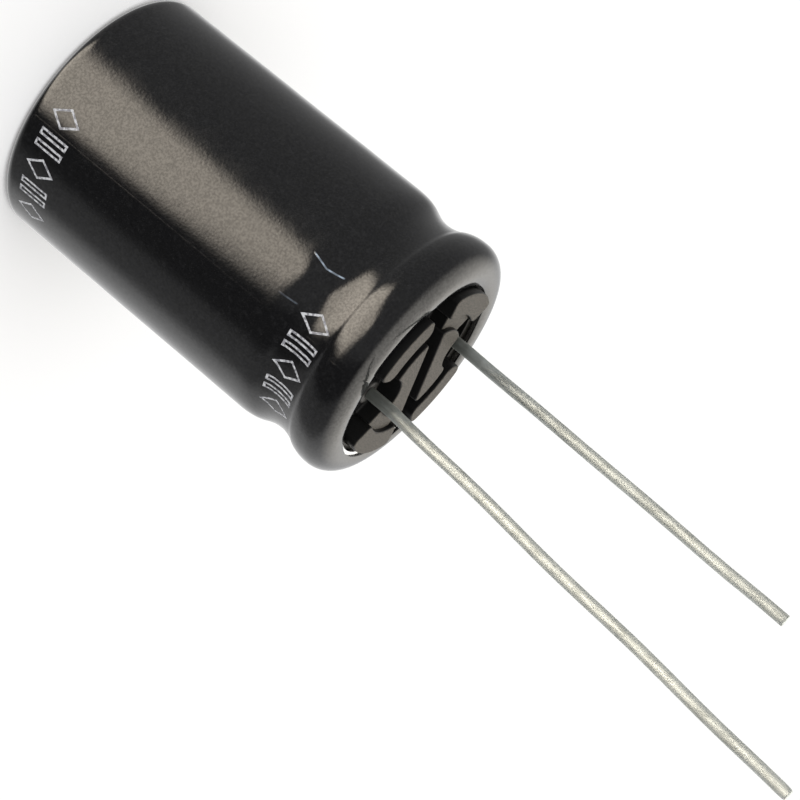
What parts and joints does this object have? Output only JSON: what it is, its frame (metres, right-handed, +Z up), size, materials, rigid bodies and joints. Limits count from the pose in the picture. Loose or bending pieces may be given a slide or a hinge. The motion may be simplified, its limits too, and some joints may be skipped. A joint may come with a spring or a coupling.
{
  "type": "electrolytic capacitor",
  "caption": "Radial electrolytic capacitor: beaded and curled aluminium can in a black shrink sleeve, rubber bung with moulded gas channels, wound element inside, two tinned leads.",
  "frame": {"origin": "centre of the closed end, on the surface it stands on", "axes": "+Z up the barrel to the leads; +X from the barrel's axis to the long (positive) lead"},
  "size_m": [0.0162, 0.0162, 0.0568],
  "materials": {
    "sleeve": "glossy black heat-shrink film",
    "can": "drawn, bright",
    "bung": "moulded, matte pads and darker channels",
    "tinned_wire": "tinned, slightly dull",
    "tab": "plain",
    "anode": "etched, dull grey",
    "cathode": "etched, light grey",
    "paper": "soaked cellulose paper",
    "tape": "thin film tape"
  },
  "bodies": {
    "root": {"sleeve": "sleeve", "can": "can", "rubber_bung": "bung", "long_lead": "tinned_wire", "short_lead": "tinned_wire", "positive_tab": "tab", "negative_tab": "tab", "anode_foil": "anode", "cathode_foil": "cathode", "inner_paper": "paper", "outer_paper": "paper", "closing_tape": "tape"}
  },
  "joints": []
}
